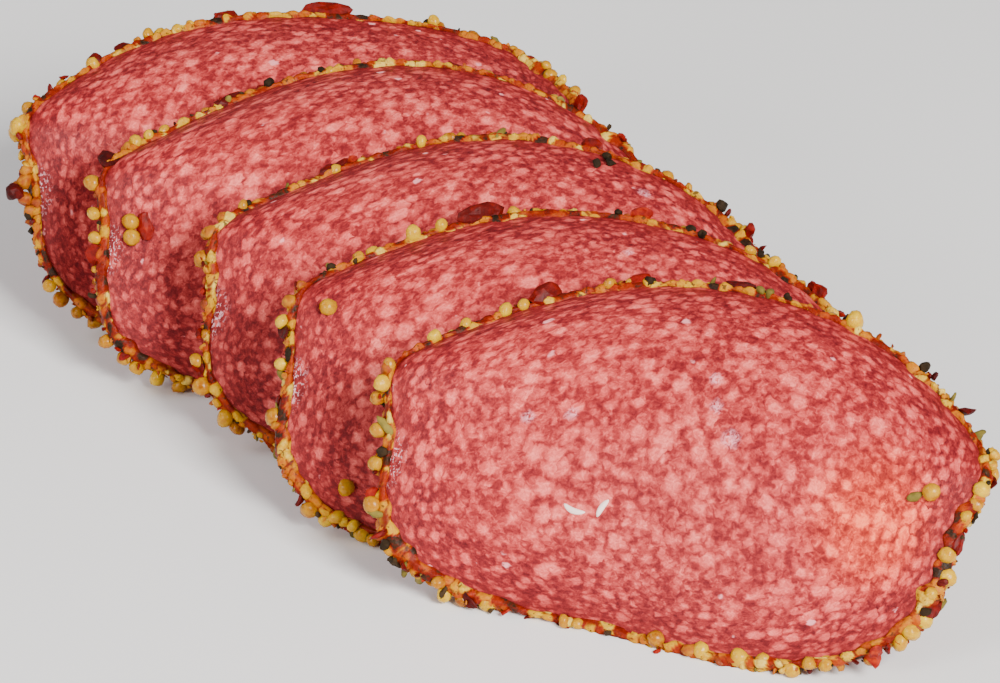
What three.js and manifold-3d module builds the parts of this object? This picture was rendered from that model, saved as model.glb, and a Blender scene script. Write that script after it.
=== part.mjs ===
// Five overlapping slices of a cured sausage whose rim is rolled in mustard seed and chilli.
// Millimetres, +Z up, +X to the right of the row, the slices' cut faces look towards -Y.
// Each slice is one limp sheet of meat: its foot stands on the table, its face leans back,
// and its far part bends over a ridge and lies on the slice behind.
import * as THREE from 'three';
import { mergeVertices } from 'three/addons/utils/BufferGeometryUtils.js';
import Module from 'manifold-3d';

const wasm = await Module();
wasm.setup();

// The sausage's section, laid flat
const HALF_WIDTH = 34.5;
const SQUARENESS = 3.1; // exponent of the rounded outline, 2 is an ellipse
const THICKNESS = 2.2;
const CORNER_SPREAD = 12; // degrees, where an end of the ridge pulls the outline out
const CORNER_PULL = 2.5;

// The rim of paste that holds the spices
const CRUST_WIDTH = 1.1;
const CRUST_WAVE = 0.35;
const CRUST_BEVEL = 0.45;
const SLOW_WAVES = 5; // around the rim
const QUICK_WAVES = 13;
const SLOW_SHARE = 0.6;
const QUICK_SHIFT = 2.3; // keeps the two waves of a slice out of step

// How the sheet bends over its ridge
const RIDGE_TILT = 1.2;
const BEND_MIDDLE = 15;
const BEND_END = 3.2;
const MOST_LIFT = 1.6; // how far the drop of the ends still grows past the ridge
const FOOT_LIFT = 0.6; // the cut face's foot above the table, on which the crust is pressed flat

// The five slices from the back to the front, each with its foot's place and turn.
// Turns and slopes are in degrees; a loose seed is at its distances from the slice's middle,
// and a flake is at a direction from the middle, where 90 is the crest and 180 the left end.
const SLICES = [
  {
    name: 'slice_1', x: -29.3, y: 37.2, turn: -11.3, halfDepth: 25.8,
    face: 64.1, top: 6.5, ridge: 7.1, leftDrop: 0.6, rightDrop: 1.3, leftRun: -7.3, rightRun: 2.2,
    seed: 11, loose: [],
    flakes: [
      { at: 187, length: 3.4, width: 2.4, turn: 15 },
      { at: 172, length: 1.9, width: 1.6, turn: 40 },
      { at: 92, length: 3.2, width: 1.0, turn: 80 },
    ],
  },
  {
    name: 'slice_2', x: -20.3, y: 18.7, turn: -22.1, halfDepth: 26.7,
    face: 61.6, top: 2.9, ridge: 9.5, leftDrop: 3.2, rightDrop: 6.7, leftRun: -11.4, rightRun: 2.5,
    seed: 23, loose: [[-32.4, -0.9], [-31.9, -3.3]],
    flakes: [
      { at: 162, length: 2.2, width: 1.7, turn: 60 },
      { at: 61, length: 2.4, width: 1.1, turn: 10 },
    ],
  },
  {
    name: 'slice_3', x: -7.3, y: -0.8, turn: -27.3, halfDepth: 25.4,
    face: 61.3, top: 4.7, ridge: 10.0, leftDrop: 3.7, rightDrop: 5.7, leftRun: -9.7, rightRun: 2.8,
    seed: 37, loose: [],
    flakes: [{ at: 158, length: 1.8, width: 1.4, turn: 30 }],
  },
  {
    name: 'slice_4', x: 2.5, y: -23.5, turn: -27.5, halfDepth: 25.6,
    face: 57.0, top: 6.1, ridge: 9.7, leftDrop: 2.1, rightDrop: 5.4, leftRun: -8.6, rightRun: 2.5,
    seed: 41, loose: [[-24.6, -18.7], [-32.6, 6.0]],
    flakes: [{ at: 125, length: 2.7, width: 1.3, turn: 80 }],
  },
  {
    name: 'slice_5', x: 16.7, y: -39.7, turn: -28.7, halfDepth: 24.3,
    face: 61.1, top: 4.0, ridge: 9.8, leftDrop: 2.1, rightDrop: 7.4, leftRun: -10.2, rightRun: 3.2,
    seed: 59, loose: [[31.4, 5.0]],
    flakes: [
      { at: 128, length: 2.7, width: 1.3, turn: 85 },
      { at: 78, length: 1.9, width: 1.3, turn: 50 },
      { at: 359, length: 1.8, width: 1.3, turn: 70 },
    ],
  },
];

// Mustard seeds and chilli flakes in the crust
const SEEDS_PER_RIM = 47;
const SEED_RADIUS = 1.15;
const SEED_SIZES = [0.88, 1.12]; // smallest and largest, of the radius
const SEED_JITTER = 0.7; // of the step from one seed to the next
const SEED_SQUASH = 0.85;
const SEED_STANDS = 0.25;
const SEED_HEIGHT = -0.9; // a seed's middle, measured from the cut face
const SEED_SCATTER = 1.0;
const BARE_RUNS = 7; // stretches of crust without seeds
const BARE_ABOVE = 0.35;
const FLAKES_PER_RIM = 6;
const FLAKE_REACH = 2.0;
const FLAKE_LENGTHS = [0.7, 1.3]; // shortest and longest, of the reach
const FLAKE_WIDTHS = [0.4, 0.7];
const FLAKE_LEAN = 0.4; // radians, to either side
const FLAKE_SPIN = 3;
const FLAKE_THICKNESS = 0.7;
const FLAKE_HEIGHT = -0.5;
const FLAKE_DRAW = 1000; // added to a slice's seed number for its flakes
const LARGE_THICKNESS = 1.0;
const LOOSE_RISE = 0.5; // how far a loose seed's middle is above the face, in radii
const ROOM = 1.3; // a topping's size is stretched by this to test that it clears its neighbours
const MEAT_COLOUR = 0xb9535a;
const MEAT_ROUGHNESS = 0.5;

// The sheet's mesh, in cells across and cells deep
const CELLS_ACROSS = 14;
const CELLS_DEEP = 12;

const { clamp, degToRad: radians, lerp } = THREE.MathUtils;
const FULL_TURN = 2 * Math.PI;

// A repeatable stream of random numbers from 0 to 1
function makeRandom(seed) {
  let state = seed;
  return () => {
    state = (state * 1664525 + 1013904223) % 4294967296;
    return state / 4294967296;
  };
}

// The flat outline's point in the direction of (across, deep), both from -1 to 1
function outlinePoint(slice, across, deep, grow) {
  const power = Math.abs(across) ** SQUARENESS + Math.abs(deep) ** SQUARENESS;
  const scale = 1 / power ** (1 / SQUARENESS);
  const u = (HALF_WIDTH + grow) * across * scale;
  const v = (slice.halfDepth + grow) * deep * scale;
  const end = Math.sign(u) || 1;
  const ridgeEnd = Math.atan2(slice.ridge + RIDGE_TILT * end, HALF_WIDTH);
  const away = (Math.atan2(v, Math.abs(u)) - ridgeEnd) / radians(CORNER_SPREAD);
  const pull = CORNER_PULL * Math.exp(-away * away);
  const longer = 1 + pull / Math.hypot(u, v);
  return [u * longer, v * longer];
}

// A point of the flat sheet: the square from -1 to 1 is eased out to the outline
function flatPoint(slice, across, deep) {
  const size = Math.max(Math.abs(across), Math.abs(deep));
  if (size === 0) return [0, 0];
  const [u, v] = outlinePoint(slice, across / size, deep / size, 0);
  const plainU = HALF_WIDTH * across;
  const plainV = slice.halfDepth * deep;
  const edge = size * size;
  return [plainU + (u * size - plainU) * edge, plainV + (v * size - plainV) * edge];
}

// Run and height of the sheet at a length up from its foot: straight face, round bend, straight top
function hang(length, ridge, bend, face, top) {
  const straight = ridge - bend;
  const turned = length - straight;
  if (turned <= 0) return [length * Math.cos(face), length * Math.sin(face)];
  const curl = (face - top) / (2 * bend);
  const slope = face - curl * Math.min(turned, 2 * bend);
  const past = Math.max(turned - 2 * bend, 0);
  return [
    straight * Math.cos(face) + (Math.sin(face) - Math.sin(slope)) / curl + past * Math.cos(top),
    straight * Math.sin(face) + (Math.cos(slope) - Math.cos(face)) / curl + past * Math.sin(top),
  ];
}

// Where the point (u, v) of a slice's cut face hangs in space
function hungPoint(slice, u, v) {
  const side = u / HALF_WIDTH;
  const bow = side * side;
  const length = v + slice.halfDepth;
  const ridge = slice.halfDepth + slice.ridge + RIDGE_TILT * side;
  const bend = BEND_MIDDLE + (BEND_END - BEND_MIDDLE) * Math.min(bow, 1);
  const [run, height] = hang(length, ridge, bend, radians(slice.face), radians(slice.top));
  const lift = clamp(length / ridge, 0, MOST_LIFT);
  const drop = u < 0 ? slice.leftDrop : slice.rightDrop;
  const forward = run + (u < 0 ? slice.leftRun : slice.rightRun) * bow;
  const turn = radians(slice.turn);
  return new THREE.Vector3(
    u * Math.cos(turn) - forward * Math.sin(turn) + slice.x,
    u * Math.sin(turn) + forward * Math.cos(turn) + slice.y,
    height - drop * bow * lift + FOOT_LIFT,
  );
}

// The sheet's upward normal at the flat point (u, v)
function hungNormal(slice, u, v) {
  const step = 0.1;
  const along = hungPoint(slice, u + step, v).sub(hungPoint(slice, u - step, v));
  const up = hungPoint(slice, u, v + step).sub(hungPoint(slice, u, v - step));
  return along.cross(up).normalize();
}

// A point of the slice, a given height above its cut face, or below it if negative
function skinPoint(slice, u, v, height) {
  return hungPoint(slice, u, v).addScaledVector(hungNormal(slice, u, v), height);
}

// The crust's width at a turn around the rim, from 0 to 1
function crustWidth(slice, around) {
  const angle = around * FULL_TURN;
  const slow = Math.sin(SLOW_WAVES * angle + slice.seed);
  const quick = Math.sin(QUICK_WAVES * angle + QUICK_SHIFT * slice.seed);
  return CRUST_WIDTH + CRUST_WAVE * lerp(quick, slow, SLOW_SHARE);
}

// The grid's rim as a loop of [across, deep], running anticlockwise from the near left
function rimLoop() {
  const rising = (cells) => Array.from({ length: cells }, (_, index) => (2 * index) / cells - 1);
  const falling = (cells) => rising(cells).map((place) => -place);
  return [
    ...rising(CELLS_ACROSS).map((across) => [across, -1]),
    ...rising(CELLS_DEEP).map((deep) => [1, deep]),
    ...falling(CELLS_ACROSS).map((across) => [across, 1]),
    ...falling(CELLS_DEEP).map((deep) => [-1, deep]),
  ];
}

// The bare slice: cut face, hidden face, and a bevelled crust between them
function sliceGeometry(slice) {
  const positions = [];
  const indices = [];
  const add = (point) => positions.push(point.x, point.y, point.z) / 3 - 1;
  const faces = [0, -THICKNESS].map((height) => {
    const rows = [];
    for (let j = 0; j <= CELLS_DEEP; j += 1) {
      const row = [];
      for (let i = 0; i <= CELLS_ACROSS; i += 1) {
        const [u, v] = flatPoint(slice, (2 * i) / CELLS_ACROSS - 1, (2 * j) / CELLS_DEEP - 1);
        row.push(add(skinPoint(slice, u, v, height)));
      }
      rows.push(row);
    }
    return rows;
  });
  const quad = (a, b, c, d) => indices.push(a, b, c, a, c, d);
  for (let j = 0; j < CELLS_DEEP; j += 1) {
    for (let i = 0; i < CELLS_ACROSS; i += 1) {
      const [top, under] = faces;
      quad(top[j][i], top[j][i + 1], top[j + 1][i + 1], top[j + 1][i]);
      quad(under[j][i], under[j + 1][i], under[j + 1][i + 1], under[j][i + 1]);
    }
  }
  const loop = rimLoop();
  const cell = ([across, deep], rows) => {
    const i = Math.round(((across + 1) / 2) * CELLS_ACROSS);
    const j = Math.round(((deep + 1) / 2) * CELLS_DEEP);
    return rows[j][i];
  };
  const bands = [
    loop.map((place) => cell(place, faces[0])),
    ...[-CRUST_BEVEL, CRUST_BEVEL - THICKNESS].map((height) => loop.map((place, index) => {
      const width = crustWidth(slice, index / loop.length);
      const [u, v] = outlinePoint(slice, place[0], place[1], width);
      return add(skinPoint(slice, u, v, height));
    })),
    loop.map((place) => cell(place, faces[1])),
  ];
  for (let band = 0; band < bands.length - 1; band += 1) {
    loop.forEach((_, index) => {
      const next = (index + 1) % loop.length;
      const [near, far] = [bands[band], bands[band + 1]];
      quad(near[index], far[index], far[next], near[next]);
    });
  }
  const geometry = new THREE.BufferGeometry();
  geometry.setAttribute('position', new THREE.Float32BufferAttribute(positions, 3));
  geometry.setIndex(indices);
  return geometry;
}

// The direction and place on the rim at a turn around it, from 0 to 1, as [across, deep]
function rimPlace(slice, around) {
  const lengths = [HALF_WIDTH, slice.halfDepth, HALF_WIDTH, slice.halfDepth];
  const corners = [[-1, -1], [1, -1], [1, 1], [-1, 1]];
  let left = (around - Math.floor(around)) * 2 * (HALF_WIDTH + slice.halfDepth);
  let side = 0;
  while (left > lengths[side]) {
    left -= lengths[side];
    side = (side + 1) % 4;
  }
  const [from, to] = [corners[side], corners[(side + 1) % 4]];
  const part = left / lengths[side];
  return [from[0] + (to[0] - from[0]) * part, from[1] + (to[1] - from[1]) * part];
}

// A placement on the rim: x points out of the crust and z out of the cut face
function rimFrame(slice, [across, deep], grow, height) {
  const [u, v] = outlinePoint(slice, across, deep, grow);
  const [outU, outV] = outlinePoint(slice, across, deep, grow + 1);
  const at = skinPoint(slice, u, v, height);
  const normal = hungNormal(slice, u, v);
  const out = skinPoint(slice, outU, outV, height).sub(at);
  out.addScaledVector(normal, -out.dot(normal)).normalize();
  const along = normal.clone().cross(out);
  return new THREE.Matrix4().makeBasis(out, along, normal).setPosition(at);
}

// A topping turned at random, squashed to its size and set in its place
function topping(shape, size, turns, frame) {
  const spin = new THREE.Matrix4().makeRotationFromEuler(new THREE.Euler(...turns));
  const scale = new THREE.Matrix4().makeScale(...size);
  return shape.clone().applyMatrix4(frame.clone().multiply(spin).multiply(scale));
}

const SEED_SHAPE = new THREE.IcosahedronGeometry(1, 0);
const FLAKE_SHAPE = new THREE.CylinderGeometry(1, 1, 1, 5, 1).rotateX(Math.PI / 2);

// Mustard seeds sunk into the crust all around, with bare stretches between the runs
function rimSeeds(slice) {
  const random = makeRandom(slice.seed);
  const seeds = [];
  for (let k = 0; k < SEEDS_PER_RIM; k += 1) {
    const around = (k + SEED_JITTER * random()) / SEEDS_PER_RIM;
    const radius = SEED_RADIUS * lerp(...SEED_SIZES, random());
    const height = SEED_HEIGHT + SEED_SCATTER * (random() - 0.5);
    const turns = [FULL_TURN * random(), FULL_TURN * random(), FULL_TURN * random()];
    const bare = Math.sin(FULL_TURN * BARE_RUNS * around + slice.seed) > BARE_ABOVE;
    if (bare) continue;
    const frame = rimFrame(slice, rimPlace(slice, around), CRUST_WIDTH + SEED_STANDS, height);
    seeds.push(topping(SEED_SHAPE, [radius, radius * SEED_SQUASH, radius], turns, frame));
  }
  return seeds;
}

// Chilli flakes, thin and five-sided, standing out of the crust between the seeds
function rimFlakes(slice) {
  const random = makeRandom(slice.seed + FLAKE_DRAW);
  const flakes = [];
  for (let k = 0; k < FLAKES_PER_RIM; k += 1) {
    const around = (k + random()) / FLAKES_PER_RIM;
    const length = FLAKE_REACH * lerp(...FLAKE_LENGTHS, random());
    const width = FLAKE_REACH * lerp(...FLAKE_WIDTHS, random());
    const lean = () => lerp(-FLAKE_LEAN, FLAKE_LEAN, random());
    const turns = [lean(), lean(), FLAKE_SPIN * random()];
    const frame = rimFrame(slice, rimPlace(slice, around), CRUST_WIDTH, FLAKE_HEIGHT);
    flakes.push(topping(FLAKE_SHAPE, [length, width, FLAKE_THICKNESS], turns, frame));
  }
  return flakes;
}

// The few large flakes and the lump that stand out most
function largeFlakes(slice) {
  return slice.flakes.map(({ at, length, width, turn }) => {
    const place = [Math.cos(radians(at)), Math.sin(radians(at))];
    const frame = rimFrame(slice, place, CRUST_WIDTH + SEED_STANDS, FLAKE_HEIGHT);
    return topping(FLAKE_SHAPE, [length, width, LARGE_THICKNESS], [0, 0, radians(turn)], frame);
  });
}

// Loose seeds that lie on a slice's cut face
function faceSeeds(slice) {
  return slice.loose.map(([u, v]) => {
    const at = skinPoint(slice, u, v, SEED_RADIUS * LOOSE_RISE);
    const frame = new THREE.Matrix4().setPosition(at);
    return topping(SEED_SHAPE, [SEED_RADIUS, SEED_RADIUS, SEED_RADIUS], [u, v, 0], frame);
  });
}

// three.js mesh to solid and back
function toSolid(geometry) {
  const bare = geometry.clone();
  bare.deleteAttribute('normal');
  bare.deleteAttribute('uv');
  const merged = mergeVertices(bare);
  return new wasm.Manifold(new wasm.Mesh({
    numProp: 3,
    vertProperties: new Float32Array(merged.attributes.position.array),
    triVerts: new Uint32Array(merged.index.array),
  }));
}

function toGeometry(solid) {
  const mesh = solid.getMesh();
  const geometry = new THREE.BufferGeometry();
  geometry.setAttribute('position', new THREE.BufferAttribute(mesh.vertProperties, 3));
  geometry.setIndex(new THREE.BufferAttribute(mesh.triVerts, 1));
  geometry.computeVertexNormals();
  return geometry;
}

// The largest body of a solid, so that no loose scrap is left
function largestBody(solid) {
  const bodies = solid.decompose();
  return bodies.reduce((best, body) => (body.volume() > best.volume() ? body : best));
}

// Everything under the table's top, to flatten what rests on it
const TABLE_SIDE = 400;
const TABLE_DEPTH = 40;
const TABLE_SHAPE = new THREE.BoxGeometry(TABLE_SIDE, TABLE_SIDE, TABLE_DEPTH);
const BELOW_TABLE = toSolid(TABLE_SHAPE.translate(0, 0, -TABLE_DEPTH / 2));

// A slice with the toppings that keep clear of the slices next to it
function dressedSlice(slice, bare, neighbours) {
  let solid = bare;
  const pieces = [largeFlakes, faceSeeds, rimSeeds, rimFlakes].flatMap((make) => make(slice));
  for (const piece of pieces) {
    piece.computeBoundingBox();
    const middle = piece.boundingBox.getCenter(new THREE.Vector3());
    const wide = piece.clone().translate(-middle.x, -middle.y, -middle.z);
    wide.scale(ROOM, ROOM, ROOM).translate(middle.x, middle.y, middle.z);
    const room = toSolid(wide);
    if (neighbours.some((other) => !other.intersect(room).isEmpty())) continue;
    solid = solid.add(toSolid(piece));
  }
  return largestBody(solid.subtract(BELOW_TABLE));
}

const MEAT = new THREE.MeshStandardMaterial({
  color: MEAT_COLOUR, roughness: MEAT_ROUGHNESS, metalness: 0,
});
const bareSlices = SLICES.map((slice) => toSolid(sliceGeometry(slice)));
const group = new THREE.Group();
let behind = [];
SLICES.forEach((slice, index) => {
  const neighbours = [...behind, ...bareSlices.slice(index + 1, index + 2)];
  const solid = dressedSlice(slice, bareSlices[index], neighbours);
  const mesh = new THREE.Mesh(toGeometry(solid), MEAT);
  mesh.name = slice.name;
  group.add(mesh);
  behind = [solid];
});

// The origin is under the middle of the whole row, on the table
const box = new THREE.Box3().setFromObject(group);
const centre = box.getCenter(new THREE.Vector3());
group.position.set(-centre.x, -centre.y, 0);

export default group;
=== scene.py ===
import math

import bpy
import numpy as np
from mathutils import Euler, Matrix, Vector, noise
from mathutils.bvhtree import BVHTree


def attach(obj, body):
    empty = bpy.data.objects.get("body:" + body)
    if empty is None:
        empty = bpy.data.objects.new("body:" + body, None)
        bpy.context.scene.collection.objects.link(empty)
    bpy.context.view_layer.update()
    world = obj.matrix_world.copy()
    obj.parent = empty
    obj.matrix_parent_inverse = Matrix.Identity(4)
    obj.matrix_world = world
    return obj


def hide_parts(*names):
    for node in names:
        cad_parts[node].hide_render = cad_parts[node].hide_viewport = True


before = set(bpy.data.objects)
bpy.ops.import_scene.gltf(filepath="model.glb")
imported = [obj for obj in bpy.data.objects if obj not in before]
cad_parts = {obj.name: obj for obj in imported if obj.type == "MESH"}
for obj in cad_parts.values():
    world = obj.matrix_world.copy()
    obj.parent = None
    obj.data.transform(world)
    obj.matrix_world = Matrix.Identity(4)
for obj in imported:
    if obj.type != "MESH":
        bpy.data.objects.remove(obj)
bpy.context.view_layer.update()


# Meat
# Each slice is one limp sheet of lean and fat, cut across the sausage. Its foot stands on the
# table, its face leans back, and its far part bends over a ridge onto the slice behind.
MM = 0.001
ROW_SHIFT = np.array((3.6257, -11.8552, 0.0))
HALF_WIDTH = 34.5
SQUARENESS = 3.1
THICKNESS = 2.2
CORNER_SPREAD = math.radians(12)
CORNER_PULL = 2.5
RIDGE_TILT = 1.2
BEND_MIDDLE = 15
BEND_END = 3.2
MOST_LIFT = 1.6
FOOT_LIFT = 0.6
CELLS_ACROSS = 120
CELLS_DEEP = 96
EDGE_STEPS = 5
SLICE_APART = 4.3  # between two slices' places in the grain of the uncut sausage
STREAK_REACH = 5.0  # how far in from the rim the grain is drawn out along it
STREAK_PULL = 2.2

# x, y and turn place a slice, and half_depth is half its height laid flat; face and top are its
# slopes below and above the ridge, the line where it bends; drops and runs are how far its left
# and right ends hang down and lie back
SLICES = [
    dict(name="slice_1", x=-29.3, y=37.2, turn=-11.3, half_depth=25.8, face=64.1, top=6.5,
         ridge=7.1, drops=(0.6, 1.3), runs=(-7.3, 2.2), seed=11),
    dict(name="slice_2", x=-20.3, y=18.7, turn=-22.1, half_depth=26.7, face=61.6, top=2.9,
         ridge=9.5, drops=(3.2, 6.7), runs=(-11.4, 2.5), seed=23),
    dict(name="slice_3", x=-7.3, y=-0.8, turn=-27.3, half_depth=25.4, face=61.3, top=4.7,
         ridge=10.0, drops=(3.7, 5.7), runs=(-9.7, 2.8), seed=37),
    dict(name="slice_4", x=2.5, y=-23.5, turn=-27.5, half_depth=25.6, face=57.0, top=6.1,
         ridge=9.7, drops=(2.1, 5.4), runs=(-8.6, 2.5), seed=41),
    dict(name="slice_5", x=16.7, y=-39.7, turn=-28.7, half_depth=24.3, face=61.1, top=4.0,
         ridge=9.8, drops=(2.1, 7.4), runs=(-10.2, 3.2), seed=59),
]


def outline(cut, across, deep, grow):
    """The flat outline's point in a direction, moved outwards by grow."""
    across, deep, grow = np.broadcast_arrays(across, deep, grow)
    power = np.abs(across) ** SQUARENESS + np.abs(deep) ** SQUARENESS
    scale = 1 / power ** (1 / SQUARENESS)
    u = (HALF_WIDTH + grow) * across * scale
    v = (cut["half_depth"] + grow) * deep * scale
    end = np.where(u < 0, -1, 1)
    ridge_end = np.arctan2(cut["ridge"] + RIDGE_TILT * end, HALF_WIDTH)
    away = (np.arctan2(v, np.abs(u)) - ridge_end) / CORNER_SPREAD
    longer = 1 + CORNER_PULL * np.exp(-away * away) / np.hypot(u, v)
    return u * longer, v * longer


def hang(cut, u, v):
    """Where a point of the flat cut face hangs in space."""
    side = u / HALF_WIDTH
    bow = side * side
    length = v + cut["half_depth"]
    ridge = cut["half_depth"] + cut["ridge"] + RIDGE_TILT * side
    bend = BEND_MIDDLE + (BEND_END - BEND_MIDDLE) * np.minimum(bow, 1)
    face, top = math.radians(cut["face"]), math.radians(cut["top"])
    straight = ridge - bend
    turned = length - straight
    curl = (face - top) / (2 * bend)
    slope = face - curl * np.clip(turned, 0, 2 * bend)
    past = np.maximum(turned - 2 * bend, 0)
    reach = np.minimum(length, straight)
    run = reach * math.cos(face) + (math.sin(face) - np.sin(slope)) / curl + past * math.cos(top)
    height = reach * math.sin(face) + (np.cos(slope) - math.cos(face)) / curl + past * math.sin(top)
    left = u < 0
    lift = np.clip(length / ridge, 0, MOST_LIFT)
    forward = run + np.where(left, *cut["runs"]) * bow
    turn = math.radians(cut["turn"])
    return np.stack([
        u * math.cos(turn) - forward * math.sin(turn) + cut["x"],
        u * math.sin(turn) + forward * math.cos(turn) + cut["y"],
        height - np.where(left, *cut["drops"]) * bow * lift + FOOT_LIFT,
    ], axis=-1) + ROW_SHIFT


def normal_at(cut, u, v):
    """The sheet's upward normal at a flat point."""
    step = 0.1
    along = hang(cut, u + step, v) - hang(cut, u - step, v)
    up = hang(cut, u, v + step) - hang(cut, u, v - step)
    cross = np.cross(along, up)
    return cross / np.linalg.norm(cross, axis=-1, keepdims=True)


def skin(cut, u, v, height):
    """A point of the slice, a height above its cut face or below it."""
    place = hang(cut, u, v) + normal_at(cut, u, v) * np.asarray(height)[..., None]
    place[..., 2] = np.maximum(place[..., 2], 0)
    return place


def mesh_piece(name, points, faces, attributes, material):
    """A smooth mesh object from points in millimetres, riding on the one body."""
    mesh = bpy.data.meshes.new(name)
    mesh.from_pydata((np.asarray(points) * MM).tolist(), [], faces)
    for key, values in attributes.items():
        values = np.asarray(values, dtype=np.float32)
        kind = "FLOAT_VECTOR" if values.ndim == 2 else "FLOAT"
        layer = mesh.attributes.new(key, kind, "POINT")
        layer.data.foreach_set("vector" if values.ndim == 2 else "value", values.ravel())
    mesh.shade_smooth()
    mesh.materials.append(material)
    piece = bpy.data.objects.new(name, mesh)
    bpy.context.scene.collection.objects.link(piece)
    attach(piece, "root")
    return piece


def loop_of(rows, columns):
    """The rim of a grid as (row, column), anticlockwise from the near left corner."""
    return (
        [(0, i) for i in range(columns)]
        + [(j, columns) for j in range(rows)]
        + [(rows, i) for i in range(columns, 0, -1)]
        + [(j, 0) for j in range(rows, 0, -1)]
    )


def join_bands(bands):
    """Quads between rings of point numbers, each ring outside the one before."""
    quads = []
    for near, far in zip(bands, bands[1:]):
        for k in range(len(near)):
            after = (k + 1) % len(near)
            quads.append((near[k], far[k], far[after], near[after]))
    return quads


def meat_sheet(cut, index):
    """The slice's points, faces and grain: cut face, hidden face and the edge between them."""
    across, deep = np.meshgrid(
        np.linspace(-1, 1, CELLS_ACROSS + 1), np.linspace(-1, 1, CELLS_DEEP + 1)
    )
    size = np.maximum(np.abs(across), np.abs(deep))
    middle = size == 0
    span = np.where(middle, 1, size)
    edge_u, edge_v = outline(cut, np.where(middle, 1, across / span), deep / span, 0)
    plain_u, plain_v = HALF_WIDTH * across, cut["half_depth"] * deep
    u = plain_u + (edge_u * size - plain_u) * size * size
    v = plain_v + (edge_v * size - plain_v) * size * size
    inward = np.hypot(edge_u - u, edge_v - v)
    stretch = 1 + STREAK_PULL * STREAK_REACH * np.exp(-inward / STREAK_REACH) / (np.hypot(u, v) + 1)
    loop = loop_of(CELLS_DEEP, CELLS_ACROSS)
    places, grain, rim = [], [], []
    heights = np.linspace(0, -THICKNESS, EDGE_STEPS)
    for height in heights[[0, -1]]:
        places.append(skin(cut, u, v, np.full(u.shape, height)).reshape(-1, 3))
        grain.append(np.stack([u * stretch, v * stretch, u * 0 + height + index * SLICE_APART], -1))
        rim.append(inward)
    count = u.size
    face = np.arange(count).reshape(u.shape)
    under = face + count
    rows, columns = zip(*loop)
    bands = [face[rows, columns].tolist()]
    for height in heights[1:-1]:
        start = sum(len(block) for block in places)
        places.append(skin(cut, u[rows, columns], v[rows, columns], np.full(len(loop), height)))
        grain.append(grain[0][rows, columns] + (0, 0, height))
        rim.append(inward[rows, columns])
        bands.append(list(range(start, start + len(loop))))
    bands.append(under[rows, columns].tolist())
    faces = join_bands(bands)
    for j in range(CELLS_DEEP):
        for i in range(CELLS_ACROSS):
            faces.append((face[j, i], face[j, i + 1], face[j + 1, i + 1], face[j + 1, i]))
            faces.append((under[j, i], under[j + 1, i], under[j + 1, i + 1], under[j, i + 1]))
    return (
        np.concatenate(places),
        [tuple(int(k) for k in quad) for quad in faces],
        np.concatenate([block.reshape(-1, 3) for block in grain]),
        np.concatenate([block.ravel() for block in rim]),
    )


class Value:
    """A socket of a node tree; arithmetic on it adds the Math node that works it out."""

    def __init__(self, tree, socket):
        self.tree = tree
        self.socket = socket

    def math(self, operation, *values):
        return add_node(self.tree, "ShaderNodeMath", {"operation": operation},
                        dict(enumerate(values)))

    def __add__(self, other):
        return self.math("ADD", self, other)

    __radd__ = __add__

    def __sub__(self, other):
        return self.math("SUBTRACT", self, other)

    def __rsub__(self, other):
        return self.math("SUBTRACT", other, self)

    def __mul__(self, other):
        return self.math("MULTIPLY", self, other)

    __rmul__ = __mul__

    def eased(self, low, high):
        """0 below low, 1 above high and smooth between."""
        return add_node(self.tree, "ShaderNodeMapRange", {"interpolation_type": "SMOOTHSTEP"},
                        {"Value": self, "From Min": low, "From Max": high})


def add_node(tree, kind, settings, inputs, output=0):
    """A node of any kind: its settings are set first, then its sockets' values or links."""
    made = tree.nodes.new(kind)
    for name, value in settings.items():
        setattr(made, name, value)
    for key, value in inputs.items():
        if isinstance(value, Value):
            tree.links.new(value.socket, made.inputs[key])
        else:
            made.inputs[key].default_value = value
    return Value(tree, made.outputs[output])


def mixed(tree, factor, first, second):
    """A colour between two, each a colour or a socket."""
    inputs = {0: factor, 6: first, 7: second}
    return add_node(tree, "ShaderNodeMix", {"data_type": "RGBA"}, inputs, 2)


def attribute(tree, name, output="Vector"):
    return add_node(tree, "ShaderNodeAttribute", {"attribute_name": name}, {}, output)


def noise_at(tree, place, size, detail=2, output="Fac"):
    """Noise whose blotches are about size millimetres across."""
    inputs = {"Vector": place, "Scale": 1 / size, "Detail": detail}
    return add_node(tree, "ShaderNodeTexNoise", {}, inputs, output)


def vector_math(tree, operation, *values):
    return add_node(tree, "ShaderNodeVectorMath", {"operation": operation}, dict(enumerate(values)))


def away_from(tree, place, middle, counted=(1, 1, 1)):
    """The distance from a middle, with the length along each axis counted so many times."""
    offset = vector_math(tree, "SUBTRACT", place, middle)
    offset = vector_math(tree, "MULTIPLY", offset, counted)
    return add_node(tree, "ShaderNodeVectorMath", {"operation": "LENGTH"}, {0: offset}, "Value")


def new_material(name, **constants):
    """A material with its Principled shader, whose sockets take the given plain values."""
    material = bpy.data.materials.new(name)
    material.use_nodes = True
    shader = material.node_tree.nodes["Principled BSDF"]
    for key, value in constants.items():
        shader.inputs[key.replace("_", " ")].default_value = value
    return material, material.node_tree, shader


def feed(tree, shader, **links):
    for key, value in links.items():
        tree.links.new(value.socket, shader.inputs[key.replace("_", " ")])


def bump(tree, height, depth):
    """A normal from a height, whose full range is depth millimetres."""
    inputs = {"Height": height, "Distance": depth * MM, "Strength": 1.0}
    return add_node(tree, "ShaderNodeBump", {}, inputs)


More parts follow.
